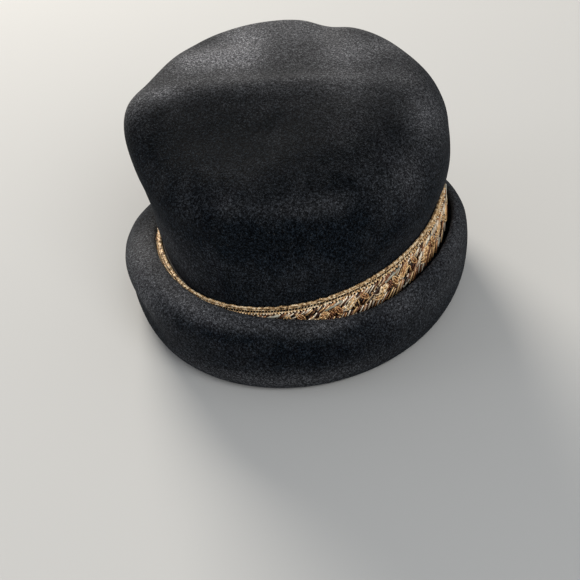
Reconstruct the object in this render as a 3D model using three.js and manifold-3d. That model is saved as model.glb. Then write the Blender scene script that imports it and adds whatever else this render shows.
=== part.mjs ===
// A woman's cocktail hat of velour felt: a tall soft crown with a broad hollow tip, a rolled brim all round
// and a band of beaded trimming in the valley between them.
// Millimetres. +Z is up, the nape side of the hat is towards -Y, and the hat rests on z = 0.
// Angles go round the head from +X: 90 degrees is the wearer's front and 270 degrees the nape.
// TO_MIDDLE moves the finished hat so that the middle of its outline on the ground is the origin.

import * as THREE from 'three';
import Module from 'manifold-3d';

const wasm = await Module();
wasm.setup();

// Driving dimensions
const FELT = 2;
const SEAT_GAP = 0.3;
const COLUMNS = 60;
const TO_MIDDLE = { x: 0.95, y: 1.44 };

// The crown's outer face, from its lower edge to the middle of the tip. Each row is a level oval with its
// left and right ends in x and its near and far ends in y. tilt lifts its right end and drops its left one,
// and rise does the same from far to near.
const TILT_REACH = 85;
const RISE_REACH = 95;
const CROWN_ROWS = [
  { height: 2, left: -78, right: 83, near: -92.3, far: 93.5, tilt: 0, rise: 0 },
  { height: 32, left: -78, right: 83, near: -92.3, far: 93.5, tilt: 6.5, rise: 0 },
  { height: 51.3, left: -77, right: 82.5, near: -93.5, far: 92.5, tilt: 11.2, rise: 1.3 },
  { height: 66, left: -78.8, right: 87, near: -94.1, far: 93, tilt: 6.5, rise: 0 },
  { height: 80, left: -80, right: 89, near: -95.5, far: 93.5, tilt: 4, rise: 1 },
  { height: 93, left: -82.5, right: 88.5, near: -95, far: 93, tilt: 2, rise: 3 },
  { height: 104, left: -85.3, right: 87, near: -91.5, far: 91, tilt: 0, rise: 5.3 },
  { height: 113, left: -81, right: 80.7, near: -83, far: 87.3, tilt: -1, rise: 5.9 },
  { height: 119, left: -74.8, right: 72, near: -70, far: 80.3, tilt: -2, rise: 6.6 },
  { height: 122.5, left: -56, right: 57, near: -51, far: 64, tilt: -2, rise: 5 },
  { height: 124.5, left: -33, right: 34, near: -24, far: 41, tilt: -1, rise: 3 },
  { height: 125, left: 0, right: 0, near: 8, far: 8, tilt: 0, rise: 0 },
];
const STEPS_A_ROW = 2;
const EDGE_ROW = 0;
const BAND_LOW_ROW = 1;
const BAND_HIGH_ROW = 2;
const TIP_ROW = CROWN_ROWS.length - 1;

// Soft dents and swellings: where each lies, how far it reaches along x, y and z, and how far it moves the
// felt at its middle.
const CROWN_DENTS = [
  { name: 'pulled corner', at: [-82, -15.5, 117], reach: [15, 24, 13], push: [-6.3, 0, 6.6] },
  { name: 'hollow near half of the tip', at: [-22, -38, 117], reach: [48, 28, 24], push: [0, 0, -5] },
  { name: 'soft ridge across the tip', at: [-16, 4, 125], reach: [60, 11, 24], push: [0, 0, 2.5] },
  { name: 'notch in the far edge', at: [19.5, 76, 122], reach: [11.5, 26, 24], push: [0, 0, -3.4] },
  { name: 'groove inside the far left edge', at: [-37, 53, 124], reach: [30, 9, 24], push: [0, 0, -1] },
  { name: 'tuck above the band', at: [0, -96, 84], reach: [80, 30, 9], push: [0, 3, 0] },
  { name: 'dent in the right shoulder', at: [55, -62, 104], reach: [22, 22, 16], push: [-1.5, 2, 0] },
];

// The roll of the brim, a section every 30 degrees from +X: how wide it stands out from the crown, how high
// its top is, and how far its tucked-in lip stays from the crown.
const ROLL_SECTIONS = [
  { width: 15.8, top: 45.5, lip: 6.4 },
  { width: 10.5, top: 39.5, lip: 5 },
  { width: 11.5, top: 40, lip: 4.6 },
  { width: 13, top: 39.5, lip: 4.4 },
  { width: 14, top: 38.5, lip: 4.2 },
  { width: 15, top: 35.5, lip: 4 },
  { width: 24, top: 38.2, lip: 3.6 },
  { width: 22, top: 47.2, lip: 3.4 },
  { width: 21.5, top: 48.3, lip: 3.8 },
  { width: 16.8, top: 46.5, lip: 4.2 },
  { width: 13.5, top: 41.6, lip: 5 },
  { width: 14.2, top: 44.5, lip: 6.4 },
];

// The outer face of the rolled felt in one section, from the top of the stitched collar, down, under and up
// to the lip. out is a share of the roll's width, height a share of its top. The last rows lean to the lip.
const ROLL_PROFILE = [
  { out: 0, height: 0.48, lean: 0 },
  { out: 0, height: 0.18, lean: 0 },
  { out: 0.07, height: 0.05, lean: 0 },
  { out: 0.25, height: 0, lean: 0 },
  { out: 0.5, height: 0, lean: 0 },
  { out: 0.76, height: 0.1, lean: 0 },
  { out: 0.93, height: 0.32, lean: 0 },
  { out: 1, height: 0.58, lean: 0 },
  { out: 0.95, height: 0.81, lean: 0 },
  { out: 0.76, height: 0.96, lean: 0.1 },
  { out: 0.56, height: 1, lean: 0.5 },
  { out: 0.4, height: 0.98, lean: 0.9 },
  { out: 0.35, height: 0.9, lean: 1 },
];

// Soft places of the roll: where they lie round the head and in height, how far they spread, and how far they
// move the felt. A move outwards fades to nothing at the collar.
const BRIM_DENTS = [
  { name: 'waist on the left', angle: 205, spread: 26, height: 21, reach: 7, out: -3.3, up: 0 },
  { name: 'flare under it', angle: 208, spread: 24, height: 9, reach: 6, out: 0.6, up: 0 },
  { name: 'pressed place by the beads', angle: 287, spread: 8, height: 44, reach: 9, out: 0, up: -0.8 },
];

// The beaded trimming: a net strip with a scalloped lower edge, leaves of beads raised on it and a twisted
// cord along its upper edge.
const NET = 0.8;
const BAND_COLUMNS = 120;
const SCALLOP_COLUMNS = 2;
const SCALLOP_DEPTH = 1.8;
const BAND_WIDTH = 20;
const LEAVES = 60;
const LEAF = { length: 11.5, width: 3.2, height: 2, sunk: 0.6, row: 1.5, leans: [62, 38] };
const EDGE_CORD = { radius: 0.7, sides: 6 };

const turn = (degrees) => (degrees * Math.PI) / 180;

// A smooth curve through four values, at a share t of the way from b to c
function smooth(a, b, c, d, t) {
  const slopeB = (c - a) / 2;
  const slopeC = (d - b) / 2;
  const t2 = t * t;
  const t3 = t2 * t;
  return b * (2 * t3 - 3 * t2 + 1) + slopeB * (t3 - 2 * t2 + t) + c * (3 * t2 - 2 * t3) + slopeC * (t3 - t2);
}

// One column of an open table at a row number that need not be whole
function columnAt(rows, row, name) {
  const last = rows.length - 1;
  const start = Math.min(Math.floor(row), last - 1);
  const value = (i) => rows[Math.min(Math.max(i, 0), last)][name];
  return smooth(value(start - 1), value(start), value(start + 1), value(start + 2), row - start);
}

// One column of a table that closes on itself, at an angle in radians
function sectionAt(sections, angle, name) {
  const count = sections.length;
  const place = ((((angle / (2 * Math.PI)) % 1) + 1) % 1) * count;
  const start = Math.floor(place);
  const value = (i) => sections[(i + count) % count][name];
  return smooth(value(start - 1), value(start), value(start + 1), value(start + 2), place - start);
}

function dented(point, dents) {
  const result = point.clone();
  for (const dent of dents) {
    const [x, y, z] = dent.reach;
    const away = point.clone().sub(new THREE.Vector3(...dent.at)).divide(new THREE.Vector3(x, y, z));
    result.addScaledVector(new THREE.Vector3(...dent.push), Math.exp(-away.lengthSq()));
  }
  return result;
}

function crownPoint(row, angle) {
  const [height, left, right, near, far, tilt, rise] =
    ['height', 'left', 'right', 'near', 'far', 'tilt', 'rise'].map((name) => columnAt(CROWN_ROWS, row, name));
  const x = (left + right) / 2 + ((right - left) / 2) * Math.cos(angle);
  const y = (near + far) / 2 + ((far - near) / 2) * Math.sin(angle);
  const z = height + (tilt * x) / TILT_REACH + (rise * y) / RISE_REACH;
  return dented(new THREE.Vector3(x, y, z), CROWN_DENTS);
}

// Directions on the crown's outer face: along the row, up the wall and out of the felt
function crownFrame(row, angle) {
  const small = 0.01;
  const along = crownPoint(row, angle + small).sub(crownPoint(row, angle - small)).normalize();
  const upper = crownPoint(Math.min(row + small, TIP_ROW), angle);
  const up = upper.sub(crownPoint(Math.max(row - small, 0), angle)).normalize();
  const out = new THREE.Vector3().crossVectors(along, up).normalize();
  return { along, up: new THREE.Vector3().crossVectors(out, along), out };
}

const crownOffset = (row, angle, distance) =>
  crownPoint(row, angle).addScaledVector(crownFrame(row, angle).out, distance);

// A ring of points, one for each column
function ring(columns, pointAt) {
  return Array.from({ length: columns }, (_, i) => pointAt((i / columns) * 2 * Math.PI));
}

// A closed body from rings that follow each other up its outer side and back to the first. Where ends are
// given, the first and the last ring are each closed by a point instead.
function body(rings, ends = null) {
  const columns = rings[0].length;
  const points = rings.flat();
  const index = [];
  const bands = ends ? rings.length - 1 : rings.length;
  for (let i = 0; i < bands; i += 1) {
    const lower = i * columns;
    const upper = ((i + 1) % rings.length) * columns;
    for (let j = 0; j < columns; j += 1) {
      const next = (j + 1) % columns;
      index.push(lower + j, lower + next, upper + next, lower + j, upper + next, upper + j);
    }
  }
  if (ends) {
    const start = points.push(ends[0]) - 1;
    const finish = points.push(ends[1]) - 1;
    const last = (rings.length - 1) * columns;
    for (let j = 0; j < columns; j += 1) {
      const next = (j + 1) % columns;
      index.push(start, next, j);
      index.push(last + j, last + next, finish);
    }
  }
  const geometry = new THREE.BufferGeometry().setFromPoints(points);
  geometry.setIndex(index);
  return geometry;
}

// Crown: one felt shell. Its rings run up the outer face to the tip, and the inner face starts from the tip.
function crownShell() {
  const rows = Array.from({ length: TIP_ROW * STEPS_A_ROW }, (_, i) => EDGE_ROW + i / STEPS_A_ROW);
  const outer = rows.map((row) => ring(COLUMNS, (angle) => crownPoint(row, angle)));
  const inner = rows.map((row) => ring(COLUMNS, (angle) => crownOffset(row, angle, -FELT)));
  const tip = crownPoint(TIP_ROW, 0);
  const underTip = tip.clone().setZ(tip.z - FELT);
  return body([...inner.reverse(), ...outer], [underTip, tip]);
}

// Brim: how far its soft places move a point of a section
function brimDent(angle, out, height, width) {
  const move = new THREE.Vector2(0, 0);
  for (const dent of BRIM_DENTS) {
    const round = Math.sin((angle - turn(dent.angle)) / 2) * 2;
    const away = (round / turn(dent.spread)) ** 2 + ((height - dent.height) / dent.reach) ** 2;
    move.x += dent.out * Math.exp(-away) * (out / width) ** 2;
    move.y += dent.up * Math.exp(-away);
  }
  return move;
}

// One section of the brim: its outer face, and the same line moved in by the felt's thickness
function rollSection(angle) {
  const width = sectionAt(ROLL_SECTIONS, angle, 'width');
  const top = sectionAt(ROLL_SECTIONS, angle, 'top');
  const lip = sectionAt(ROLL_SECTIONS, angle, 'lip');
  const lipShare = (lip - SEAT_GAP) / (width - SEAT_GAP);
  const lastShare = ROLL_PROFILE[ROLL_PROFILE.length - 1].out;
  const outer = [];
  for (const row of ROLL_PROFILE) {
    const out = SEAT_GAP + (width - SEAT_GAP) * (row.out + row.lean * (lipShare - lastShare));
    const height = row.height * top;
    outer.push(new THREE.Vector2(out, height).add(brimDent(angle, out, height, width)));
  }
  const inner = outer.map((point, i) => {
    const before = outer[Math.max(i - 1, 0)];
    const after = outer[Math.min(i + 1, outer.length - 1)];
    const run = after.clone().sub(before).normalize();
    return new THREE.Vector2(point.x - run.y * FELT, point.y + run.x * FELT);
  });
  return [...outer, ...inner.reverse()];
}

function rolledBrim() {
  const angles = Array.from({ length: COLUMNS }, (_, i) => (i / COLUMNS) * 2 * Math.PI);
  const columns = angles.map((angle) => {
    const base = crownPoint(EDGE_ROW, angle).setZ(0);
    const along = crownPoint(EDGE_ROW, angle + 0.01).setZ(0).sub(base).normalize();
    const away = new THREE.Vector3(along.y, -along.x, 0);
    return rollSection(angle).map((point) => base.clone().addScaledVector(away, point.x).setZ(point.y));
  });
  const rings = columns[0].map((_, row) => columns.map((column) => column[row]));
  return body(rings);
}

// Band: net strip on the crown, with leaves of beads raised from it
function netStrip() {
  const wave = (angle) => {
    const phase = (angle * BAND_COLUMNS) / SCALLOP_COLUMNS / 2;
    return (SCALLOP_DEPTH / BAND_WIDTH) * (1 - Math.abs(Math.sin(phase)));
  };
  const edge = (row, distance) => ring(BAND_COLUMNS, (angle) => {
    const lowered = row === BAND_LOW_ROW ? wave(angle) : 0;
    return crownOffset(row + lowered, angle, distance);
  });
  return body([
    edge(BAND_LOW_ROW, SEAT_GAP + NET),
    edge(BAND_HIGH_ROW, SEAT_GAP + NET),
    edge(BAND_HIGH_ROW, SEAT_GAP),
    edge(BAND_LOW_ROW, SEAT_GAP),
  ]);
}

// One leaf of beads: a long low diamond that leans over the net strip
function beadLeaf(angle, lean) {
  const { along, up, out } = crownFrame(LEAF.row, angle);
  const long = along.clone().multiplyScalar(Math.cos(lean)).addScaledVector(up, Math.sin(lean));
  const wide = new THREE.Vector3().crossVectors(out, long);
  const raised = SEAT_GAP + NET + LEAF.height / 2 - LEAF.sunk;
  const geometry = new THREE.OctahedronGeometry(1);
  geometry.deleteAttribute('normal');
  geometry.deleteAttribute('uv');
  const place = new THREE.Matrix4().makeBasis(
    long.multiplyScalar(LEAF.length / 2),
    wide.multiplyScalar(LEAF.width / 2),
    out.clone().multiplyScalar(LEAF.height / 2),
  );
  place.setPosition(crownOffset(LEAF.row, angle, raised));
  return geometry.applyMatrix4(place);
}

// Closed meshes to solids and back, for joining the leaves to the strip
function toSolid(geometry) {
  const position = geometry.getAttribute('position');
  const found = new Map();
  const vertices = [];
  const merged = [];
  for (let i = 0; i < position.count; i += 1) {
    const point = [position.getX(i), position.getY(i), position.getZ(i)];
    const key = point.map((value) => value.toFixed(4)).join(' ');
    if (!found.has(key)) {
      found.set(key, vertices.length / 3);
      vertices.push(...point);
    }
    merged.push(found.get(key));
  }
  const corners = geometry.index ? Array.from(geometry.index.array) : merged.map((_, i) => i);
  return new wasm.Manifold(new wasm.Mesh({
    numProp: 3,
    vertProperties: new Float32Array(vertices),
    triVerts: new Uint32Array(corners.map((corner) => merged[corner])),
  }));
}

function fromSolid(solid) {
  const mesh = solid.getMesh();
  const geometry = new THREE.BufferGeometry();
  geometry.setAttribute('position', new THREE.BufferAttribute(mesh.vertProperties, 3));
  geometry.setIndex(new THREE.BufferAttribute(mesh.triVerts, 1));
  return geometry;
}

function beadedBand() {
  let solid = toSolid(netStrip());
  for (let i = 0; i < LEAVES; i += 1) {
    const lean = turn(LEAF.leans[i % LEAF.leans.length]);
    solid = solid.add(toSolid(beadLeaf((i / LEAVES) * 2 * Math.PI, lean)));
  }
  return fromSolid(solid);
}

// Cord along the band's upper edge: a round section carried round the crown
function bandEdgeCord() {
  const { radius, sides } = EDGE_CORD;
  const rings = Array.from({ length: sides }, (_, k) => ring(COLUMNS, (angle) => {
    const around = (k / sides) * 2 * Math.PI;
    const { up, out } = crownFrame(BAND_HIGH_ROW, angle);
    const centre = crownOffset(BAND_HIGH_ROW, angle, SEAT_GAP + radius);
    centre.addScaledVector(up, radius + SEAT_GAP);
    centre.addScaledVector(out, Math.cos(around) * radius);
    return centre.addScaledVector(up, Math.sin(around) * radius);
  }));
  return body(rings);
}

const velour = { color: '#15171b', roughness: 0.95, metalness: 0 };
const goldBeads = { color: '#b98a4c', roughness: 0.35, metalness: 0.6 };
const goldCord = { color: '#d9b67e', roughness: 0.6, metalness: 0.2 };

const group = new THREE.Group();
group.position.set(TO_MIDDLE.x, TO_MIDDLE.y, 0);

function addPiece(name, geometry, finish) {
  geometry.computeVertexNormals();
  const mesh = new THREE.Mesh(geometry, new THREE.MeshStandardMaterial(finish));
  mesh.name = name;
  group.add(mesh);
}

addPiece('crown', crownShell(), velour);
addPiece('rolled_brim', rolledBrim(), velour);
addPiece('beaded_band', beadedBand(), goldBeads);
addPiece('band_edge_cord', bandEdgeCord(), goldCord);

export default group;
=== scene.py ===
import math
import random
from collections import namedtuple

import bmesh
import bpy
from mathutils import Matrix, Vector, noise


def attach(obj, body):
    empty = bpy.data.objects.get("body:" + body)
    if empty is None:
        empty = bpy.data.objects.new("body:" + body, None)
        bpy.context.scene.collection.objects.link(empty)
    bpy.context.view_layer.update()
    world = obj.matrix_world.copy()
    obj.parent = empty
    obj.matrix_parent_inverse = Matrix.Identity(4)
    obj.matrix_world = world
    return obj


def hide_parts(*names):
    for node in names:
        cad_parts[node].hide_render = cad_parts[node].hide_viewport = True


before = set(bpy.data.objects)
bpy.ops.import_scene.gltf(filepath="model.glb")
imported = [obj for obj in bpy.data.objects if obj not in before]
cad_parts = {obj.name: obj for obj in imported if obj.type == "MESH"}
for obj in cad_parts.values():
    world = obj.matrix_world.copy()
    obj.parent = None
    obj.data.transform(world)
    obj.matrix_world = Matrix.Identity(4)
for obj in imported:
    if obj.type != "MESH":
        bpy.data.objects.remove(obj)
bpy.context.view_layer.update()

# Crown: one shell of fur felt, blocked and then pulled by hand. Its tip is broad and hollow, one corner is
# pulled out on the left, and the wall is tucked in above the trimming. The short nap is brushed, so it shows
# light where it is seen along the surface and is nearly black where it is seen face on.

# Lengths are in millimetres, and MM turns them into metres. FELT is the felt's thickness, SEAT_GAP the room
# between pieces that are sewn together, and TO_MIDDLE moves the hat to the middle of the frame.
MM = 0.001
FELT = 2.0
SEAT_GAP = 0.3
TO_MIDDLE = Vector((0.95, 1.44, 0.0))

# The crown's outer face, from its lower edge to the middle of the tip. Each row is an oval with its left and
# right ends in x and its near and far ends in y. tilt lifts its right end, and rise its far one.
TILT_REACH = 85.0
RISE_REACH = 95.0
CrownRow = namedtuple("CrownRow", "height left right near far tilt rise")
CROWN_ROWS = [
    CrownRow(2, -78, 83, -92.3, 93.5, 0, 0),
    CrownRow(32, -78, 83, -92.3, 93.5, 6.5, 0),
    CrownRow(51.3, -77, 82.5, -93.5, 92.5, 11.2, 1.3),
    CrownRow(66, -78.8, 87, -94.1, 93, 6.5, 0),
    CrownRow(80, -80, 89, -95.5, 93.5, 4, 1),
    CrownRow(93, -82.5, 88.5, -95, 93, 2, 3),
    CrownRow(104, -85.3, 87, -91.5, 91, 0, 5.3),
    CrownRow(113, -81, 80.7, -83, 87.3, -1, 5.9),
    CrownRow(119, -74.8, 72, -70, 80.3, -2, 6.6),
    CrownRow(122.5, -56, 57, -51, 64, -2, 5),
    CrownRow(124.5, -33, 34, -24, 41, -1, 3),
    CrownRow(125, 0, 0, 8, 8, 0, 0),
]

# Soft dents and swellings: where each lies, how far it reaches along x, y and z, and how it moves the felt.
Dent = namedtuple("Dent", "name at reach push")
CROWN_DENTS = [
    Dent("pulled corner", (-82, -15.5, 117), (15, 24, 13), (-6.3, 0, 6.6)),
    Dent("hollow near half of the tip", (-22, -38, 117), (48, 28, 24), (0, 0, -5)),
    Dent("soft ridge across the tip", (-16, 4, 125), (60, 11, 24), (0, 0, 2.5)),
    Dent("notch in the far edge", (19.5, 76, 122), (11.5, 26, 24), (0, 0, -3.4)),
    Dent("groove inside the far left edge", (-37, 53, 124), (30, 9, 24), (0, 0, -1)),
    Dent("tuck above the band", (0, -96, 84), (80, 30, 9), (0, 3, 0)),
    Dent("dent in the right shoulder", (55, -62, 104), (22, 22, 16), (-1.5, 2, 0)),
    Dent("soft roll of the tip on the right", (44, -20, 122), (26, 20, 24), (0, 0, 1.1)),
    Dent("pressed in by the beads on the left", (-66, -48, 42), (26, 26, 10), (1.4, 0.7, 0)),
]
TIP_ROW = len(CROWN_ROWS) - 1
CROWN_COLUMNS = 128
CROWN_STEPS = 5

# The felt wavers a little where it was pulled by hand, in waves of two sizes, and not where the trimming
# holds it.
FELT_WAVER = 0.45
WAVER_SIZE = 27.0
FINE_WAVER = 0.4
TIMES_FINER = 2.3
HELD_UP_TO = 58
FREE_AFTER = 16

# A dent has died out this many squared reaches away, and directions come from points a small step aside.
DENT_ENDS = 12
STEP_ASIDE = 0.01


def neighbours_at(rows, place, closed):
    """The values of a table's row at a place between two rows, on a smooth curve through four of them."""
    last = len(rows) - 1
    start = math.floor(place) if closed else min(math.floor(place), last - 1)
    t = place - start
    shares = (
        -0.5 * t**3 + t**2 - 0.5 * t,
        1.5 * t**3 - 2.5 * t**2 + 1,
        -1.5 * t**3 + 2 * t**2 + 0.5 * t,
        0.5 * t**3 - 0.5 * t**2,
    )
    near = [start + step for step in (-1, 0, 1, 2)]
    picked = [rows[i % len(rows)] if closed else rows[min(max(i, 0), last)] for i in near]
    return [sum(share * value for share, value in zip(shares, column)) for column in zip(*picked)]


def far_off(point, place):
    """How far a point lies from a place, squared, where the place's reach along x, y and z counts as one."""
    return sum(((a - b) / c) ** 2 for a, b, c in zip(point, place.at, place.reach))


def crown_point(row, angle):
    """A point of the crown's outer face in millimetres, before the hat is moved to its middle."""
    height, left, right, near, far, tilt, rise = neighbours_at(CROWN_ROWS, row, closed=False)
    x = (left + right) / 2 + (right - left) / 2 * math.cos(angle)
    y = (near + far) / 2 + (far - near) / 2 * math.sin(angle)
    z = height + tilt * x / TILT_REACH + rise * y / RISE_REACH
    pushed = Vector((x, y, z))
    for dent in CROWN_DENTS:
        away = far_off((x, y, z), dent)
        if away < DENT_ENDS:
            pushed += Vector(dent.push) * math.exp(-away)
    return pushed


def crown_run(row, angle):
    """The way along a row of the crown from just before an angle to just after it."""
    return crown_point(row, angle + STEP_ASIDE) - crown_point(row, angle - STEP_ASIDE)


def crown_radius(row, angle):
    """How many millimetres of a row go to a radian."""
    return crown_run(row, angle).length / (2 * STEP_ASIDE)


def crown_out(row, angle):
    """The direction out of the crown's felt."""
    above = crown_point(min(row + STEP_ASIDE, TIP_ROW), angle)
    below = crown_point(max(row - STEP_ASIDE, 0), angle)
    return crown_run(row, angle).normalized().cross(above - below).normalized()


def in_frame(point):
    """A point in the hat's millimetres as a point of the shared frame."""
    return (point + TO_MIDDLE) * MM


# How light the crown's felt is painted, where 0 is black and 1 the lightest, and how much it gains or loses
# at each place. It is partly brushed nap and mostly painted light and shade: the far half of the tip, the
# edges and the right shoulder are painted light where the back light and the sheen at a grazing angle fall,
# the hollow and the tuck are painted dark as shade, and there are scuffs.
LIGHT_AND_NAP = "nap"
NAP_LIGHT = 0.04
NAP_DARKEST = -0.07
NapAndLightPlace = namedtuple("NapAndLightPlace", "name at reach light")
CROWN_NAP_AND_LIGHT = [
    NapAndLightPlace("light patch on the far half", (-26, 40, 125), (15, 23, 18), 0.86),
    NapAndLightPlace("left of the light patch", (-49, 34, 125), (17, 16, 14), 0.82),
    NapAndLightPlace("far side of the light patch", (-32, 62, 124), (14, 10, 12), 0.5),
    NapAndLightPlace("far left edge", (-52, 62, 122), (20, 10, 9), -0.12),
    NapAndLightPlace("left end of the tip", (-67, 22, 123), (13, 15, 14), 0.12),
    NapAndLightPlace("ridge by the pulled corner", (-67, -1, 124), (10, 7, 10), 0.6),
    NapAndLightPlace("pulled corner", (-80, -10, 122), (8, 12, 10), 0.35),
    NapAndLightPlace("ridge left of the middle", (-44, 6, 126), (26, 8, 20), 0.24),
    NapAndLightPlace("ridge in the middle", (-6, 4, 126), (22, 9, 20), 0.16),
    NapAndLightPlace("middle of the tip", (2, 38, 126), (14, 20, 20), 0.2),
    NapAndLightPlace("far middle of the tip", (6, 62, 124), (24, 12, 20), 0.44),
    NapAndLightPlace("right of the middle", (32, 38, 125), (16, 20, 18), 0.62),
    NapAndLightPlace("near side of it", (32, 7, 125), (20, 12, 20), 0.32),
    NapAndLightPlace("far right of the tip", (56, 48, 121), (15, 14, 20), 0.38),
    NapAndLightPlace("right of the tip", (62, 18, 121), (13, 13, 20), 0.3),
    NapAndLightPlace("far edge", (0, 80, 118), (70, 12, 14), 0.5),
    NapAndLightPlace("right edge", (84, -6, 112), (12, 22, 14), 0.2),
    NapAndLightPlace("right shoulder", (75, -14, 114), (10, 20, 14), 0.3),
    NapAndLightPlace("low right shoulder", (67, -55, 103), (11, 16, 12), 0.2),
    NapAndLightPlace("near half on the right", (40, -24, 120), (15, 22, 14), 0.06),
    NapAndLightPlace("ridge on the right", (40, -9, 123), (14, 10, 10), 0.05),
    NapAndLightPlace("hollow", (-24, -40, 117), (44, 20, 16), -0.06),
    NapAndLightPlace("scuff in the hollow", (-6, -38, 118), (13, 4, 8), 0.07),
    NapAndLightPlace("scuff on the near shoulder", (-22, -80, 106), (9, 8, 4), 0.06),
    NapAndLightPlace("crest above the tuck", (20, -82, 105), (26, 9, 4), 0.12),
    NapAndLightPlace("tuck above the band", (-6, -94, 88), (62, 22, 13), -0.06),
    NapAndLightPlace("foot of the left wall", (-62, -62, 60), (22, 26, 16), 0.17),
]


def nap_and_painted_light(point, places):
    """How light the felt is painted at a point: its nap and its painted light and shade, up to 1 for the
    lightest.
    """
    hat_point = point / MM - TO_MIDDLE
    light = NAP_LIGHT + sum(place.light * math.exp(-far_off(hat_point, place)) for place in places)
    return min(max(light, NAP_DARKEST), 1.0)


def crown_place(row, angle):
    """Where a point of the crown's felt lies in the frame, with the felt's waver."""
    point = crown_point(row, angle)
    if 0 < row < TIP_ROW:
        free = min(max((point.z - HELD_UP_TO) / FREE_AFTER, 0), 1)
        place = point / WAVER_SIZE
        waver = noise.noise(place) + FINE_WAVER * noise.noise(place * TIMES_FINER)
        point += crown_out(row, angle) * (FELT_WAVER * free * waver)
    return in_frame(point)


def ringed(columns, rows, place):
    """A sheet of rings, each extruded from the last, with every point set by its row and its angle."""
    bm = bmesh.new()
    around = bm.verts.layers.float.new("around")
    bmesh.ops.create_circle(bm, segments=columns, radius=1)
    for vert in bm.verts:
        vert[around] = math.atan2(vert.co.y, vert.co.x)
        vert.co = place(rows[0], vert[around])
    edges = bm.edges[:]
    for row in rows[1:]:
        grown = bmesh.ops.extrude_edge_only(bm, edges=edges)["geom"]
        fresh = {item for item in grown if isinstance(item, bmesh.types.BMVert)}
        edges = [
            item for item in grown
            if isinstance(item, bmesh.types.BMEdge) and fresh.issuperset(item.verts)
        ]
        for vert in fresh:
            vert.co = place(row, vert[around])
    bmesh.ops.remove_doubles(bm, verts=bm.verts, dist=1e-6)
    bmesh.ops.recalc_face_normals(bm, faces=bm.faces)
    return bm


def brushed_and_lit(bm, places):
    """A felt sheet with its nap and its painted light and shade laid on its points."""
    nap = bm.verts.layers.float.new(LIGHT_AND_NAP)
    for vert in bm.verts:
        vert[nap] = nap_and_painted_light(vert.co, places)
    return bm


def add_piece(name, bm, material, wall=0.0, levels=0):
    """Makes an object of a bmesh, smooth, with a wall's thickness inwards and finer faces where asked."""
    mesh = bpy.data.meshes.new(name)
    bm.to_mesh(mesh)
    bm.free()
    mesh.shade_smooth()
    mesh.materials.append(material)
    piece = bpy.data.objects.new(name, mesh)
    bpy.context.scene.collection.objects.link(piece)
    if wall:
        solidify = piece.modifiers.new("wall", "SOLIDIFY")
        solidify.thickness = wall * MM
        solidify.offset = -1
        solidify.use_even_offset = True
    if levels:
        finer = piece.modifiers.new("finer", "SUBSURF")
        finer.levels = levels
        finer.render_levels = levels
    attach(piece, "root")
    return piece


def linear(hex_colour):
    """An sRGB hex colour as linear red, green, blue and alpha."""
    parts = [int(hex_colour[i:i + 2], 16) / 255 for i in (1, 3, 5)]
    return [c / 12.92 if c <= 0.04045 else ((c + 0.055) / 1.055) ** 2.4 for c in parts] + [1.0]


def set_inputs(tree, node, inputs):
    """Gives each named socket of a node a value, an output, or the first output in use of another node."""
    for name, value in inputs.items():
        if isinstance(name, int):
            socket = node.inputs[name]
        else:
            socket = next(item for item in node.inputs if item.name == name and item.enabled)
        if isinstance(value, bpy.types.Node):
            value = next(item for item in value.outputs if item.enabled)
        if isinstance(value, bpy.types.NodeSocket):
            tree.links.new(value, socket)
        else:
            socket.default_value = value


def add_node(tree, kind, inputs, stops=(), **settings):
    """Adds a shader node with its settings and inputs, and the places and sRGB colours of a ramp's stops."""
    node = tree.nodes.new("ShaderNode" + kind)
    for name, value in settings.items():
        setattr(node, name, value)
    for i, (place, colour) in enumerate(stops):
        elements = node.color_ramp.elements
        element = elements[i] if i < len(elements) else elements.new(place)
        element.position = place
        element.color = linear(colour)
    set_inputs(tree, node, inputs)
    return node


def new_finish(name, **values):
    """A material with its shader's even values set, and the tree and the shader to build a pattern on."""
    material = bpy.data.materials.new(name)
    material.use_nodes = True
    tree = material.node_tree
    shader = tree.nodes["Principled BSDF"]
    set_inputs(tree, shader, {socket.replace("_", " "): value for socket, value in values.items()})
    return material, tree, shader


# Velour is rabbit fur felt with a short raised nap, dyed black and brushed. It is painted grey where the nap
# attribute lays painted light or light nap, and blue black elsewhere. Each fibre shows as a light or dark
# speck and tufts of them as a grain, a few shed hairs lie about, the top's black is painted browner to offset
# the bluish light on it, and the edges have a faint sheen. Real fibres are finer than a speck: they are drawn
# as coarse as they need to be to show.
velour, tree, shader = new_finish(
    "black_velour_felt",
    Roughness=0.92,
    Specular_IOR_Level=0.05,
    Sheen_Weight=0.08,
    Sheen_Roughness=0.32,
    Sheen_Tint=linear("#878d96"),
)
NAP_PATCH = 24 * MM
NAP_STREAK = 6 * MM
STREAK_SHARE = 0.4
PATCH_LIGHT = 0.22
FIBRE = 0.4 * MM
FIBRE_RUN = 1.4 * MM
TUFT = 1.0 * MM
TUFT_SHARE = 0.48
NAP_DEPTH = 0.4 * MM
STRAY_HAIR = 0.9 * MM
WARMING_FROM = 88 * MM
WARMING_FULL = 118 * MM
spot = add_node(tree, "TexCoord", {}).outputs["Object"]

# How light the felt is painted: the nap attribute, which holds painted light and shade and brushed nap, and
# soft patches and streaks over them
patches = add_node(
    tree, "TexNoise",
    {"Vector": spot, "Scale": 1 / NAP_PATCH, "Detail": 3.0, "Distortion": 0.8},
)
streaks = add_node(
    tree, "TexNoise",
    {"Vector": spot, "Scale": 1 / NAP_STREAK, "Detail": 4.0, "Roughness": 0.6},
)
bent = add_node(tree, "Mix", {"Factor": STREAK_SHARE, "A": patches, "B": streaks})
swing = add_node(tree, "Math", {0: bent, 1: 0.5}, operation="SUBTRACT")
laid_light_and_nap = add_node(tree, "Attribute", {}, attribute_name=LIGHT_AND_NAP).outputs["Fac"]
lit_and_lying = add_node(
    tree, "Math", {0: swing, 1: PATCH_LIGHT, 2: laid_light_and_nap},
    operation="MULTIPLY_ADD", use_clamp=True,
)

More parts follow.
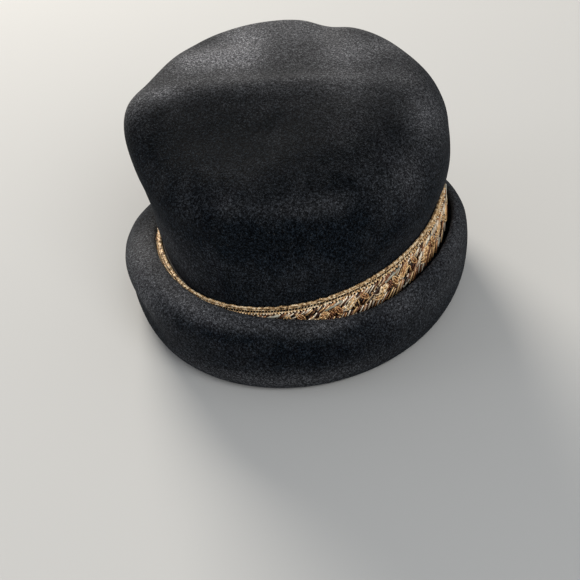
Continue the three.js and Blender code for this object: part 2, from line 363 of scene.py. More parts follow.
# The grain: fibres that run up and down, and rounder tufts
combed = add_node(tree, "Mapping", {"Vector": spot, "Scale": (1.0, 1.0, FIBRE / FIBRE_RUN)})
fibres = add_node(
    tree, "TexNoise",
    {"Vector": combed, "Scale": 1 / FIBRE, "Detail": 4.0, "Roughness": 0.6, "Distortion": 1.2},
)
tufts = add_node(tree, "TexNoise", {"Vector": spot, "Scale": 1 / TUFT, "Detail": 1.0, "Distortion": 1.0})
grain = add_node(tree, "Mix", {"Factor": TUFT_SHARE, "A": fibres, "B": tufts})
dark = add_node(tree, "ValToRGB", {"Fac": grain}, [(0.36, "#000001"), (0.5, "#04070b"), (0.66, "#28313b")])
light = add_node(tree, "ValToRGB", {"Fac": grain}, [(0.33, "#101011"), (0.5, "#57575a"), (0.66, "#bcbcbf")])

# The top's dark nap, painted browner and more neutral to offset the bluish cast that the air and the sheen
# give the top
up = add_node(tree, "SeparateXYZ", {"Vector": spot}).outputs["Z"]
warmed_top = add_node(tree, "MapRange", {"Value": up, "From Min": WARMING_FROM, "From Max": WARMING_FULL})
warmed_dark = add_node(
    tree, "Mix",
    {"Factor": warmed_top, "A": dark, "B": linear("#fff0e2")},
    data_type="RGBA", blend_type="MULTIPLY",
)
tone = add_node(tree, "Mix", {"Factor": lit_and_lying, "A": warmed_dark, "B": light}, data_type="RGBA")

# Shed hairs, and the nap's relief
strays = add_node(
    tree, "TexNoise",
    {"Vector": spot, "Scale": 1 / STRAY_HAIR, "Detail": 1.0, "Distortion": 2.5},
)
shed = add_node(tree, "ValToRGB", {"Fac": strays}, [(0.7, "#000000"), (0.75, "#808080")])
haired = add_node(tree, "Mix", {"Factor": shed, "A": tone, "B": linear("#8c8b88")}, data_type="RGBA")
relief = add_node(tree, "Bump", {"Strength": 1.0, "Distance": NAP_DEPTH, "Height": grain})
set_inputs(tree, shader, {"Base Color": haired, "Normal": relief})

crown_rows = [i / CROWN_STEPS for i in range(TIP_ROW * CROWN_STEPS + 1)]
# The crown's points carry its nap and its painted light and shade.
crown_sheet = brushed_and_lit(ringed(CROWN_COLUMNS, crown_rows, crown_place), CROWN_NAP_AND_LIGHT)
crown = add_piece("crown_felt", crown_sheet, velour, wall=FELT, levels=1)
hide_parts("crown")


# Rolled brim: one strip of the same felt, stitched to the foot of the crown, turned under flat where the hat
# rests, and rolled out and up into a soft puffy cuff whose lip is tucked in towards the trimming.

# A section of the roll every 30 degrees from +X: how wide it stands out from the crown, how high its top is,
# and how far its lip stays from the crown.
RollSection = namedtuple("RollSection", "width top lip")
ROLL_SECTIONS = [
    RollSection(15.8, 45.5, 6.4),
    RollSection(10.5, 39.5, 5),
    RollSection(11.5, 40, 4.6),
    RollSection(13, 39.5, 4.4),
    RollSection(14, 38.5, 4.2),
    RollSection(15, 35.5, 4),
    RollSection(24, 38.2, 3.6),
    RollSection(22, 47.2, 3.4),
    RollSection(21.5, 48.3, 3.8),
    RollSection(16.8, 46.5, 4.2),
    RollSection(13.5, 41.6, 5),
    RollSection(14.2, 44.5, 6.4),
]

# The outer face of the felt in one section, from the top of the collar, down, under and up to the lip. out is
# a share of the roll's width, height a share of its top, and the last rows lean to the lip.
ProfileRow = namedtuple("ProfileRow", "out height lean")
ROLL_PROFILE = [
    ProfileRow(0, 0.48, 0),
    ProfileRow(0, 0.18, 0),
    ProfileRow(0.07, 0.05, 0),
    ProfileRow(0.25, 0, 0),
    ProfileRow(0.5, 0, 0),
    ProfileRow(0.76, 0.1, 0),
    ProfileRow(0.93, 0.32, 0),
    ProfileRow(1, 0.58, 0),
    ProfileRow(0.95, 0.81, 0),
    ProfileRow(0.76, 0.96, 0.1),
    ProfileRow(0.56, 1, 0.5),
    ProfileRow(0.4, 0.98, 0.9),
    ProfileRow(0.35, 0.9, 1),
]

# Soft places of the roll: where they lie round the hat and in height, how far they spread round it and reach
# up and down, and how far they move the felt.
BrimDent = namedtuple("BrimDent", "name angle spread height reach out up")
BRIM_DENTS = [
    BrimDent("waist on the left", 205, 26, 21, 7, -3.3, 0),
    BrimDent("flare under it", 208, 24, 9, 6, 0.6, 0),
    BrimDent("pressed place by the beads", 287, 8, 44, 9, 0, -0.8),
]
BRIM_COLUMNS = 160
BRIM_STEPS = 4

# The roll is loose on its outer side, and held at the collar and where the hat stands on it.
BRIM_WAVER = 0.7
BRIM_WAVER_SIZE = 34
BRIM_FINE_WAVER = 0.35
BRIM_FINE_SIZE = 13
HELD_SHARE = 0.5
LOOSE_RATE = 2.5
LOOSE_HEIGHT = 12

# The brim's painted light and shade: its crest and sides are painted lighter where light falls on them, its
# foot at the nape lighter as painted sheen at a grazing angle, and the middle of the nape and the felt under
# the crest darker as painted shade.
BRIM_NAP_AND_LIGHT = [
    NapAndLightPlace("crest left of the nape", (-46, -90, 49), (28, 26, 4.5), 0.44),
    NapAndLightPlace("crest at the nape", (-10, -102, 47), (22, 20, 3), 0.2),
    NapAndLightPlace("crest right of the nape", (26, -98, 43), (24, 20, 3.5), 0.28),
    NapAndLightPlace("crest on the left", (-84, -40, 45), (24, 40, 14), 0.34),
    NapAndLightPlace("crest on the right", (94, -26, 44), (18, 36, 12), 0.22),
    NapAndLightPlace("right side", (80, -64, 28), (26, 30, 16), 0.13),
    NapAndLightPlace("left side", (-60, -92, 32), (34, 26, 14), 0.05),
    NapAndLightPlace("foot at the nape", (-6, -108, 9), (70, 30, 7), 0.3),
    NapAndLightPlace("middle of the nape", (6, -110, 29), (40, 20, 6), -0.04),
    NapAndLightPlace("far crest", (0, 104, 40), (90, 40, 12), 0.2),
    NapAndLightPlace("left of the nape", (-78, -72, 36), (12, 14, 10), 0.25),
    NapAndLightPlace("right of the nape", (62, -78, 40), (14, 12, 8), 0.2),
    NapAndLightPlace("low on the right", (92, -38, 26), (12, 18, 9), 0.1),
    NapAndLightPlace("under the crest", (-28, -104, 40), (30, 20, 5), -0.06),
]


def spreads_away(angle, middle, spread):
    """How many spreads an angle lies from a middle one. The middle and the spread are in degrees."""
    return 2 * math.sin((angle - math.radians(middle)) / 2) / math.radians(spread)


def brim_place(row, angle):
    """Where a point of the brim's felt lies in the frame, in a section that stands out from the crown."""
    section = angle / (2 * math.pi) * len(ROLL_SECTIONS)
    width, top, lip = neighbours_at(ROLL_SECTIONS, section, closed=True)
    share, high, lean = neighbours_at(ROLL_PROFILE, row, closed=False)
    lip_share = (lip - SEAT_GAP) / (width - SEAT_GAP)
    out = SEAT_GAP + (width - SEAT_GAP) * (max(share, 0) + lean * (lip_share - ROLL_PROFILE[-1].out))
    height = max(high * top, 0)
    for dent in BRIM_DENTS:
        turned = spreads_away(angle, dent.angle, dent.spread)
        depth = math.exp(-turned**2 - ((height - dent.height) / dent.reach) ** 2)
        out += dent.out * depth * (out / width) ** 2
        height += dent.up * depth
    foot = crown_point(0, angle)
    foot.z = 0
    along = crown_run(0, angle).normalized()
    outwards = Vector((along.y, -along.x, 0))
    point = foot + outwards * out
    point.z = height
    loose = min(max((out / width - HELD_SHARE) * LOOSE_RATE, 0), 1) * min(height / LOOSE_HEIGHT, 1)
    waver = noise.noise(point / BRIM_WAVER_SIZE) + BRIM_FINE_WAVER * noise.noise(point / BRIM_FINE_SIZE)
    point += outwards * (BRIM_WAVER * loose * waver)
    return in_frame(point)


brim_rows = [i / BRIM_STEPS for i in range((len(ROLL_PROFILE) - 1) * BRIM_STEPS + 1)]
# The brim's points carry its painted light and shade.
brim_sheet = brushed_and_lit(ringed(BRIM_COLUMNS, brim_rows, brim_place), BRIM_NAP_AND_LIGHT)
brim = add_piece("brim_felt", brim_sheet, velour, wall=FELT, levels=1)
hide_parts("rolled_brim")


# Trimming net: the ground of the beaded galloon, a dark thread net about 20 mm wide, sewn flat to the crown
# in the valley above the brim. Its lower edge is scalloped, and the beads hide most of it.

# Heights on the trimming count up from its foot at one row of the crown, and its whole width from there
# reaches the next row.
BAND_LOW_ROW = 1
BAND_WIDTH = 20.0
NET = 0.6
NET_COLUMNS = 480
NET_ROWS = [0, 1.5, 3, 6, 9, 12, 15, 18, BAND_WIDTH]
SCALLOPS = 60
SCALLOP_DEPTH = 1.8
SCALLOP_FADE = 6


def on_trimming(angle, run, height, lift):
    """The point run mm along from an angle, height mm above the trimming's foot, lift mm off the crown."""
    row = BAND_LOW_ROW + height / BAND_WIDTH
    turned = angle + run / crown_radius(row, angle) if run else angle
    return crown_point(row, turned) + crown_out(row, turned) * lift


def scallop(angle):
    """Height of the net's lower edge above the trimming's foot."""
    return SCALLOP_DEPTH * (1 - abs(math.sin(angle * SCALLOPS / 2)))


def net_place(height, angle):
    """Where a point of the net lies in the frame, at a height above the trimming's foot."""
    scalloped = height + scallop(angle) * max(1 - height / SCALLOP_FADE, 0)
    return in_frame(on_trimming(angle, 0, scalloped, SEAT_GAP + NET))


# Knotted cotton thread, dyed dark brown. It is dull, and its threads stand up a little lighter round black
# holes.
net_finish, tree, shader = new_finish("dark_thread_net", Roughness=0.8)
NET_MESH = 1.7 * MM
NET_THREAD = 0.4 * MM
spot = add_node(tree, "TexCoord", {}).outputs["Object"]
threads = add_node(tree, "TexVoronoi", {"Vector": spot, "Scale": 1 / NET_MESH}, feature="DISTANCE_TO_EDGE")
tone = add_node(
    tree, "ValToRGB", {"Fac": threads},
    [(0.0, "#33261a"), (0.09, "#1f1710"), (0.16, "#090807")],
)
relief = add_node(tree, "Bump", {"Strength": 0.8, "Distance": NET_THREAD, "Height": threads}, invert=True)
set_inputs(tree, shader, {"Base Color": tone, "Normal": relief})

net_sheet = ringed(NET_COLUMNS, NET_ROWS, net_place)
net = add_piece("trimming_net", net_sheet, net_finish, wall=NET)
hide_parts("beaded_band")


# Bugles: glass tubes 4 to 7 mm long, lined with metal and sewn side by side in fans that slant one way and
# another over the net, on a ground of dark ones. The same pattern starts again every 37 mm round the hat.
BUGLE_RADIUS = 0.39
REPEAT = 36.9
BAND_MIDDLE_ROW = 1.5
HEADING_WIDTH = 3.0
HEADING_FOOT = BAND_WIDTH - HEADING_WIDTH

# About the trimming's radius, for a run along it that only has to become a rough angle.
BAND_RADIUS = 90.0

# Metal-lined glass: a soft gleam over each bead's tint, from cream through pale gold and copper to a bronze
# that is nearly black. The darkest tints are partly painted shade between the beads.
TINT = "tint"
bead_finish, tree, shader = new_finish("metal_lined_glass_beads", Metallic=0.28, Roughness=0.27)
own_tint = add_node(tree, "Attribute", {}, attribute_name=TINT).outputs["Fac"]
tone = add_node(
    tree, "ValToRGB", {"Fac": own_tint},
    [(0.0, "#0e0806"), (0.25, "#744833"), (0.5, "#cd9564"), (0.75, "#f8cf92"), (1.0, "#fff1d8")],
)
set_inputs(tree, shader, {"Base Color": tone})

# The valley squeezes the trimming, so its beads are piled further out at the left and at the right. A bead
# that lies on the net takes only a share of that, and one on top of others takes all of it.
Pile = namedtuple("Pile", "name angle spread out")
PILES = [Pile("left of the nape", 208, 32, 3.6), Pile("right side", 356, 26, 1.7)]
PILE_AT_NET = 0.4
PILE_CLIMB = 0.5

# Each fan has its place along and up the trimming in mm, the step and the rise from bead to bead, the lean of
# the first and the turn of each next one in degrees, how many beads it has, how long they are and how far
# they lie above the net, and its tint. The first three rows are the ground, dark, which also stands in as
# painted shade for the gaps between the fans.
Fan = namedtuple("Fan", "run height step rise lean turn beads length lift tint")
FANS = [
    Fan(0.0, 0.4, 1.54, 0.0, 57, 0.0, 24, 6.2, 0.0, -0.06),
    Fan(0.6, 5.6, 1.54, 0.0, 50, 0.0, 24, 6.6, 0.05, -0.1),
    Fan(0.2, 10.8, 1.54, 0.0, 54, 0.0, 24, 6.6, 0.1, -0.06),
    Fan(0.4, 0.4, 1.35, 0.0, 68, -3.5, 7, 6.6, 0.4, 0.66),
    Fan(10.4, 0.2, 1.3, 0.0, 49, 3.0, 6, 6.4, 0.5, 0.54),
    Fan(18.6, 0.5, 1.35, 0.0, 66, -4.0, 7, 6.6, 0.4, 0.68),
    Fan(28.4, 0.3, 1.3, 0.0, 46, 2.0, 6, 6.2, 0.5, 0.5),
    Fan(0.0, 5.8, 1.25, 0.15, 40, 3.5, 7, 6.4, 0.7, 0.56),
    Fan(9.6, 6.6, 1.3, -0.15, 122, -6.0, 5, 5.6, 0.5, 0.42),
    Fan(14.6, 5.6, 1.25, 0.25, 36, 4.0, 7, 6.8, 0.8, 0.64),
    Fan(23.0, 6.2, 1.3, 0.0, 74, -6.0, 4, 5.6, 0.5, 0.48),
    Fan(35.0, 5.6, 1.3, 0.1, 58, -4.0, 3, 6.0, 0.5, 0.72),
    Fan(1.2, 11.4, 1.35, 0.0, 52, 2.0, 6, 6.2, 0.5, 0.62),
    Fan(9.4, 11.2, 1.3, 0.1, 33, 3.0, 6, 6.2, 0.6, 0.52),
    Fan(17.6, 11.8, 1.35, 0.0, 58, -4.0, 6, 5.8, 0.5, 0.48),
    Fan(25.4, 11.2, 1.3, 0.1, 40, 3.0, 5, 6.4, 0.5, 0.66),
    Fan(32.0, 12.2, 1.3, 0.0, 62, -4.0, 5, 5.0, 0.5, 0.56),
    Fan(12.0, 14.2, 1.25, 0.05, 50, -2.0, 6, 4.0, 0.9, 0.72),
    Fan(23.6, 13.6, 1.25, 0.0, 66, -3.0, 5, 4.0, 0.5, 0.5),
    Fan(5.6, 13.4, 1.25, 0.0, 40, 3.0, 4, 4.6, 0.8, 0.72),
]

# Every other bead of a fan is dark, partly as a bead colour and partly as painted shade for the gaps between
# neighbouring beads. The rest is how unevenly beads are made and sewn by hand.
TINT_SWING = 0.38
TINT_SPREAD = 0.15
FAN_TINT_SPREAD = 0.1
LEAN_SPREAD = 5
RUN_SPREAD = 0.15
HEIGHT_SPREAD = 0.5
LIFT_SPREAD = 0.55
BUGLE_SIZES = (0.85, 1.1)
END_LIFT = 0.1
EDGE_MARGIN = 0.2

# One seeded source of chance serves all the beads, in the order in which they are sewn.
chance = random.Random(7)


def repeat_angles():
    """The angles at which the trimming's pattern starts again."""
    around = sum(crown_radius(BAND_MIDDLE_ROW, math.radians(step)) for step in range(360)) * math.radians(1)
    count = round(around / REPEAT)
    return [2 * math.pi * i / count for i in range(count)]


def piled(angle, run):
    """How far the beads are piled out at a place along the trimming."""
    place = angle + run / BAND_RADIUS
    return sum(pile.out * math.exp(-spreads_away(place, pile.angle, pile.spread) ** 2) for pile in PILES)


def bead_lift(angle, run, layer):
    """How far a bead's middle stands off the crown, for the layer that it is sewn in."""
    return SEAT_GAP + NET + layer + piled(angle, run) * min(PILE_AT_NET + layer * PILE_CLIMB, 1)


def sew_repeats(sew_one):
    """The beads of all the repeats. Each is sewn in a mesh of its own, which keeps the work quick."""
    bm = bmesh.new()
    for angle in repeat_angles():
        one = bmesh.new()
        sew_one(one, one.verts.layers.float.new(TINT), angle)
        mesh = bpy.data.meshes.new("repeat")
        one.to_mesh(mesh)
        one.free()
        bm.from_mesh(mesh)
        bpy.data.meshes.remove(mesh)
    return bm


def add_bugle(bm, tints, foot, top, radius, shade, sides=6):
    """A bugle bead from one point to the other."""
    run = top - foot
    turned = run.to_track_quat("Z", "Y").to_matrix().to_4x4()
    verts = bmesh.ops.create_cone(
        bm,
        cap_ends=True,
        segments=sides,
        radius1=radius * MM,
        radius2=radius * MM,
        depth=run.length * MM,
        matrix=Matrix.Translation(in_frame((foot + top) / 2)) @ turned,
    )["verts"]
    for vert in verts:
        vert[tints] = min(max(shade, 0), 1)


def sew_fans(bm, tints, angle):
    """One repeat's fans of bugles, none past the net's scalloped edge or under the heading."""
    for fan in FANS:
        tone = fan.tint + chance.uniform(-FAN_TINT_SPREAD, FAN_TINT_SPREAD)
        for i in range(fan.beads):
            lean = math.radians(fan.lean + fan.turn * i + chance.uniform(-LEAN_SPREAD, LEAN_SPREAD))
            run = fan.run + fan.step * i + chance.uniform(-RUN_SPREAD, RUN_SPREAD)
            edge = scallop(angle + run / BAND_RADIUS) + EDGE_MARGIN
            height = max(fan.height + fan.rise * i + chance.uniform(-HEIGHT_SPREAD, HEIGHT_SPREAD), edge)
            reach = fan.length * chance.uniform(*BUGLE_SIZES)
            reach = min(reach, (HEADING_FOOT - height) / math.sin(lean))
            lift = bead_lift(angle, run, BUGLE_RADIUS + fan.lift + chance.uniform(0, LIFT_SPREAD))
            foot = on_trimming(angle, run, height, lift)
            end_run, end_height = run + reach * math.cos(lean), height + reach * math.sin(lean)
            end = on_trimming(angle, end_run, end_height, lift + END_LIFT)
            shade = tone + (TINT_SWING if i % 2 else -TINT_SWING) + chance.gauss(0, TINT_SPREAD)
            add_bugle(bm, tints, foot, end, BUGLE_RADIUS * chance.uniform(*BUGLE_SIZES), shade)


add_piece("bugle_fans", sew_repeats(sew_fans), bead_finish)


# Leaves: pointed loops of short bugles threaded end to end round one long bugle, four in each repeat. They
# lie on top of the fans, lean to both sides, and are caught down at their tips.
LEAF_LAYER = 1.25
LEAF_BEADS = 10
LEAF_BLUNTNESS = 0.4
LEAF_VEIN = 0.36
LEAF_RADIUS = 0.4
LEAF_LEAN_SPREAD = 8
LEAF_TINTS = (0.6, 0.85)
LEAF_TINT_SPREAD = 0.14
VEIN_DARKER = 0.15
Leaf = namedtuple("Leaf", "run height lean length width")
LEAVES = [
    Leaf(8.4, 11.4, 60, 8.4, 3.0),
    Leaf(16.0, 12.2, 124, 7.6, 2.8),
    Leaf(26.6, 7.6, 70, 8.4, 3.0),
    Leaf(35.4, 9.4, 112, 7.8, 2.8),
]


def leaf_point(angle, leaf, lean, along, across):
    """A point of a leaf, so far along it and across it from its middle."""
    run = leaf.run + along * math.cos(lean) - across * math.sin(lean)
    height = leaf.height + along * math.sin(lean) + across * math.cos(lean)
    lift = bead_lift(angle, run, BUGLE_RADIUS + LEAF_LAYER)
    return on_trimming(angle, run, min(height, HEADING_FOOT), lift)


def sew_leaves(bm, tints, angle):
    """One repeat's leaves, each in a tint of its own."""
    for leaf in LEAVES:
        lean = math.radians(leaf.lean + chance.uniform(-LEAF_LEAN_SPREAD, LEAF_LEAN_SPREAD))
        shade = chance.uniform(*LEAF_TINTS)
        knots = []
        for i in range(LEAF_BEADS):
            turned = 2 * math.pi * i / LEAF_BEADS
            across = leaf.width / 2 * math.sin(turned) * abs(math.sin(turned)) ** LEAF_BLUNTNESS
            knots.append(leaf_point(angle, leaf, lean, leaf.length / 2 * math.cos(turned), across))
        for foot, top in zip(knots, knots[1:] + knots[:1]):
            own_shade = shade + chance.uniform(-LEAF_TINT_SPREAD, LEAF_TINT_SPREAD)
            add_bugle(bm, tints, foot, top, LEAF_RADIUS, own_shade)
        ends = [leaf_point(angle, leaf, lean, leaf.length * side, 0) for side in (-LEAF_VEIN, LEAF_VEIN)]
        add_bugle(bm, tints, *ends, LEAF_RADIUS, shade - VEIN_DARKER)


add_piece("leaf_loops", sew_repeats(sew_leaves), bead_finish)


# Petals: strings of short pale bugles on one thread, sewn down at both ends, which hang in nested loops.
# There are two sets in each repeat.
PETAL_LAYER = 1.1
PETAL_BEADS = 6
PETAL_RADIUS = 0.4
PETAL_TILT = 2.2
PETAL_TINT = 0.82
PETAL_TINT_SPREAD = (-0.14, 0.1)
NESTED_IN = 0.6
NESTED_UP = 1.1
NESTED_SAG = 0.5
Petal = namedtuple("Petal", "run height width sag loops")
PETALS = [Petal(20.0, 7.4, 10.5, 4.2, 3), Petal(3.0, 9.4, 8.5, 3.2, 2)]


def sew_petals(bm, tints, angle):
    """One repeat's strings, each loop inside the last one and a little higher."""
    for petal in PETALS:
        for loop in range(petal.loops):
            knots = []
            for i in range(PETAL_BEADS + 1):
                along = i / PETAL_BEADS
                run = petal.run + loop * NESTED_IN + (petal.width - loop * NESTED_IN * 2) * along
                sag = (petal.sag - loop * NESTED_SAG) * 4 * along * (1 - along)
                height = petal.height + loop * NESTED_UP + PETAL_TILT * along - sag
                lift = bead_lift(angle, run, BUGLE_RADIUS + PETAL_LAYER)
                knots.append(on_trimming(angle, run, height, lift))
            for foot, top in zip(knots, knots[1:]):
                own_shade = PETAL_TINT + chance.uniform(*PETAL_TINT_SPREAD)
                add_bugle(bm, tints, foot, top, PETAL_RADIUS, own_shade)


add_piece("petal_strings", sew_repeats(sew_petals), bead_finish)


# Seed beads: small round beads of the same glass, sewn on one by one. They edge the net's foot and the
# heading, make a copper rosette in each repeat, and fill the heading where the trimming is piled up.
SEED_RADIUS = 0.62
SEED_SIZES = (0.8, 1.05)
ROSETTE = (31.2, 8.8)
ROSETTE_RINGS = [(0, 1), (1.25, 6), (2.5, 11)]
ROSETTE_LAYER = 1.1
ROSETTE_TINTS = (0.2, 0.55)
EDGE_SEEDS = 20
EDGE_HEIGHT = 0.3
EDGE_SPREAD = 0.2
EDGE_LAYER = 0.4
EDGE_TINTS = (0.3, 0.95)
HEADING_SEEDS = 22
HEADING_LAYER = 0.9
HEADING_TINTS = (0.6, 1.0)

# Where the pile stands out further than this, seeds are packed in under the cord, at shares of the pile.
PACKED_FROM = 0.9
PACKED_SHARES = (0.2, 0.45, 0.7)
PACKED_LAYER = 0.5
PACKED_HEIGHT = HEADING_FOOT + 2.8
PACKED_SPREAD_UP = 0.3
PACKED_SPREAD_ALONG = 0.4
PACKED_TINTS = (0.55, 0.95)


def add_seed(bm, tints, angle, run, height, lift, shade):
    """A seed bead at its place on the trimming."""
    verts = bmesh.ops.create_icosphere(
        bm, subdivisions=1, radius=SEED_RADIUS * MM * chance.uniform(*SEED_SIZES),
        matrix=Matrix.Translation(in_frame(on_trimming(angle, run, height, lift))),
    )["verts"]
    for vert in verts:
        vert[tints] = shade


def sew_seeds(bm, tints, angle):
    """One repeat's seed beads: the rosette, the edging of the foot, and the heading's."""
    for radius, count in ROSETTE_RINGS:
        for i in range(count):
            turned = 2 * math.pi * i / count
            run = ROSETTE[0] + radius * math.cos(turned)
            height = ROSETTE[1] + radius * math.sin(turned)
            lift = bead_lift(angle, run, ROSETTE_LAYER)
            add_seed(bm, tints, angle, run, height, lift, chance.uniform(*ROSETTE_TINTS))
    for i in range(EDGE_SEEDS):
        run = REPEAT * i / EDGE_SEEDS
        edge = scallop(angle + run / BAND_RADIUS)
        height = edge + EDGE_HEIGHT + chance.uniform(-EDGE_SPREAD, EDGE_SPREAD)
        lift = bead_lift(angle, run, EDGE_LAYER)
        add_seed(bm, tints, angle, run, height, lift, chance.uniform(*EDGE_TINTS))
    for i in range(HEADING_SEEDS):
        run = REPEAT * i / HEADING_SEEDS
        lift = bead_lift(angle, run, HEADING_LAYER)
        add_seed(bm, tints, angle, run, HEADING_FOOT, lift, chance.uniform(*HEADING_TINTS))
        if piled(angle, run) <= PACKED_FROM:
            continue
        for share in PACKED_SHARES:
            height = PACKED_HEIGHT + chance.uniform(-PACKED_SPREAD_UP, PACKED_SPREAD_UP)
            lift = SEAT_GAP + NET + PACKED_LAYER + piled(angle, run) * share
            place = run + chance.uniform(-PACKED_SPREAD_ALONG, PACKED_SPREAD_ALONG)
            add_seed(bm, tints, angle, place, height, lift, chance.uniform(*PACKED_TINTS))


add_piece("seed_beads", sew_repeats(sew_seeds), bead_finish)


# Pale bars: long beads of satin glass in a greenish silver, two in each repeat, laid along under the
# heading and by the lower edge. Fine threads of air in the glass give them a soft, broad gleam in place of
# a sharp one.
BAR_LAYER = 0.5
BAR_SIDES = 12
BAR_LEAN_SPREAD = 6
BAR_LENGTHS = (0.8, 1.05)
Bar = namedtuple("Bar", "run height lean length radius")
BARS = [Bar(28.6, 12.4, 17, 12.0, 0.8), Bar(6.4, 1.6, 16, 5.5, 0.65)]
bar_finish, _, _ = new_finish(
    "silver_green_satin_glass", Base_Color=linear("#a7a392"), Metallic=0.2, Roughness=0.34,
)


def sew_bars(bm, tints, angle):
    """One repeat's bars."""
    for bar in BARS:
        lean = math.radians(bar.lean + chance.uniform(-BAR_LEAN_SPREAD, BAR_LEAN_SPREAD))
        length = bar.length * chance.uniform(*BAR_LENGTHS)
        lift = bead_lift(angle, bar.run, bar.radius + BAR_LAYER)
        foot = on_trimming(angle, bar.run, bar.height, lift)
        end_run, end_height = bar.run + length * math.cos(lean), bar.height + length * math.sin(lean)
        top = on_trimming(angle, end_run, end_height, lift)
        add_bugle(bm, tints, foot, top, bar.radius, 1.0, sides=BAR_SIDES)


add_piece("pale_bars", sew_repeats(sew_bars), bar_finish)


# Edge cord: two metallic threads twisted together and sewn along above the galloon, all round the hat. The
# stitches pull it up and down a little.
CORD_RADIUS = 0.38
CORD_WIND = 0.36
CORD_TURNS = 290
CORD_STEPS = 7
CORD_WAVER = 0.8
CORD_WAVES = 24
CORD_HEIGHT = BAND_WIDTH + 1.0

# The cord lies on the felt and not on the net.
CORD_LAYER = CORD_RADIUS - NET

# Metallic thread is a strip of gilt foil wound on cotton. It gleams softly in pale gold, and is brown where
# the foil has worn off.
thread_finish, tree, shader = new_finish("metallic_gold_thread", Metallic=0.3, Roughness=0.42)
THREAD_WEAR = 1.6 * MM
spot = add_node(tree, "TexCoord", {}).outputs["Object"]
worn = add_node(tree, "TexNoise", {"Vector": spot, "Scale": 1 / THREAD_WEAR, "Detail": 3.0})
tone = add_node(tree, "ValToRGB", {"Fac": worn}, [(0.36, "#674a2f"), (0.5, "#d3ad79"), (0.62, "#fde8c4")])
set_inputs(tree, shader, {"Base Color": tone})


def add_thread(bm, points, radius):
    """A round thread through points, closed on itself."""
    curve = bpy.data.curves.new("thread", "CURVE")
    curve.dimensions = "3D"
    curve.bevel_depth = radius * MM
    curve.bevel_resolution = 1
    spline = curve.splines.new("POLY")
    spline.points.add(len(points) - 1)
    for knot, point in zip(spline.points, points):
        knot.co = (*in_frame(point), 1)
    spline.use_cyclic_u = True
    holder = bpy.data.objects.new("thread", curve)
    mesh = bpy.data.meshes.new_from_object(holder)
    bm.from_mesh(mesh)
    bpy.data.objects.remove(holder)
    bpy.data.curves.remove(curve)
    bpy.data.meshes.remove(mesh)


bm = bmesh.new()
for strand in (0, math.pi):
    knots = []
    for i in range(CORD_TURNS * CORD_STEPS):
        angle = 2 * math.pi * i / (CORD_TURNS * CORD_STEPS)
        wound = 2 * math.pi * i / CORD_STEPS + strand
        lift = bead_lift(angle, 0, CORD_LAYER + CORD_WIND * (1 + math.cos(wound)))
        sewn = CORD_WAVER * noise.noise(Vector((angle * CORD_WAVES, 0, 0)))
        knots.append(on_trimming(angle, 0, CORD_HEIGHT + sewn + CORD_WIND * math.sin(wound), lift))
    add_thread(bm, knots, CORD_RADIUS)
cord = add_piece("twisted_edge_cord", bm, thread_finish)
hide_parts("band_edge_cord")


# Heading: the upper edge of the galloon, a ladder of fine gold thread. Two threads run round the hat and a
# third goes up and down between them, and the black felt shows in the eyelets that are left.
EYELETS = 320
EYELET_LOW = HEADING_FOOT + 0.4
EYELET_HIGH = BAND_WIDTH - 0.1
EYELET_LEAN = 0.4
RAIL_LIFT = 0.6
RUNG_LIFT = 0.45
LOW_RADIUS = 0.3
HIGH_RADIUS = 0.26
RUNG_RADIUS = 0.26
bm = bmesh.new()
turns = [math.radians(i) for i in range(360)]
for height, radius in (EYELET_LOW, LOW_RADIUS), (EYELET_HIGH, HIGH_RADIUS):
    add_thread(bm, [on_trimming(turn, 0, height, bead_lift(turn, 0, RAIL_LIFT)) for turn in turns], radius)
rungs = []
for i in range(EYELETS):
    angle = 2 * math.pi * i / EYELETS
    ends = [(EYELET_LOW, 0.0), (EYELET_HIGH, EYELET_LEAN)]
    for height, run in ends if i % 2 else reversed(ends):
        rungs.append(on_trimming(angle, run, height, bead_lift(angle, run, RUNG_LIFT)))
add_thread(bm, rungs, RUNG_RADIUS)
add_piece("eyelet_heading", bm, thread_finish)


# The surface that the hat rests on: a plain pale board with a coat of matt paint, even all over. It is only
# the stage, and no part of the hat.
FLOOR_REACH = 3.0
board, _, _ = new_finish("pale_matt_board", Base_Color=linear("#bdbdbb"), Roughness=0.9)
bm = bmesh.new()
bmesh.ops.create_grid(bm, x_segments=1, y_segments=1, size=FLOOR_REACH)
mesh = bpy.data.meshes.new("floor")
bm.to_mesh(mesh)
bm.free()
mesh.materials.append(board)
floor = bpy.data.objects.new("floor", mesh)
bpy.context.scene.collection.objects.link(floor)


# Camera: at the angle of the picture, a little to the right of the nape and looking down. The point AIM, in
# the hat's millimetres, is seen at AIM_PIXEL of a picture 580 pixels wide.
PICTURE = 580
FOCAL_PIXELS = 1160
DISTANCE = 680.0
ELEVATION = math.radians(36)
AZIMUTH = math.radians(8)
ROLL = math.radians(6)
AIM = Vector((0, 0, 33))
AIM_PIXEL = (297, 226)

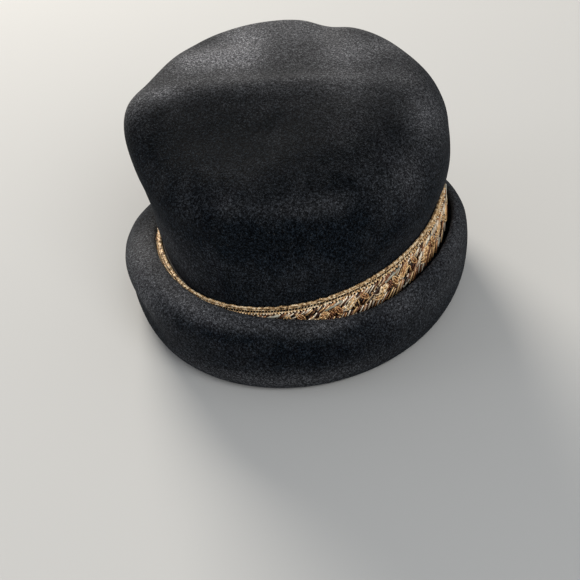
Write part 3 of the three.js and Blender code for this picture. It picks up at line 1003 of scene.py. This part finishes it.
towards = Vector((
    math.sin(AZIMUTH) * math.cos(ELEVATION), -math.cos(AZIMUTH) * math.cos(ELEVATION), math.sin(ELEVATION),
))
level = Matrix.Rotation(AZIMUTH, 4, "Z") @ Matrix.Rotation(math.pi / 2 - ELEVATION, 4, "X")
rolled = level @ Matrix.Rotation(-ROLL, 4, "Z")
pitch = math.atan2(AIM_PIXEL[1] - PICTURE / 2, FOCAL_PIXELS)
yaw = math.atan2(AIM_PIXEL[0] - PICTURE / 2, FOCAL_PIXELS)
turned = rolled @ Matrix.Rotation(pitch, 4, "X") @ Matrix.Rotation(yaw, 4, "Y")
camera_data = bpy.data.cameras.new("camera")
camera_data.lens = camera_data.sensor_width * FOCAL_PIXELS / PICTURE
camera = bpy.data.objects.new("camera", camera_data)
camera.matrix_world = Matrix.Translation(in_frame(AIM + towards * DISTANCE)) @ turned
bpy.context.scene.collection.objects.link(camera)
bpy.context.scene.camera = camera


# Light: a broad soft window behind and above the hat, weaker ones from the left and from in front, and pale
# air all round. The windows are round, and turned to the middle of the hat.
HAT_MIDDLE = Vector((0, 0, 0.05))


def add_window(name, place, width, watts, colour):
    """A round soft light at a place in metres."""
    light = bpy.data.lights.new(name, "AREA")
    light.shape = "DISK"
    light.size = width
    light.energy = watts
    light.color = linear(colour)[:3]
    lamp = bpy.data.objects.new(name, light)
    lamp.location = place
    lamp.rotation_euler = (HAT_MIDDLE - Vector(place)).to_track_quat("-Z", "Y").to_euler()
    bpy.context.scene.collection.objects.link(lamp)


add_window("window_behind", place=(-1.15, 2.3, 0.92), width=1.3, watts=130, colour="#fff8ee")
add_window("window_left", place=(-1.5, -0.35, 0.75), width=0.8, watts=3.2, colour="#f6f8ff")
add_window("window_front", place=(0.7, -1.1, 1.3), width=1.2, watts=14, colour="#ffffff")
air = bpy.data.worlds.new("pale_air")
air.use_nodes = True
glow = air.node_tree.nodes["Background"]
set_inputs(air.node_tree, glow, {"Color": linear("#dfe2e6"), "Strength": 0.5})
bpy.context.scene.world = air
bpy.context.scene.view_settings.view_transform = "Standard"
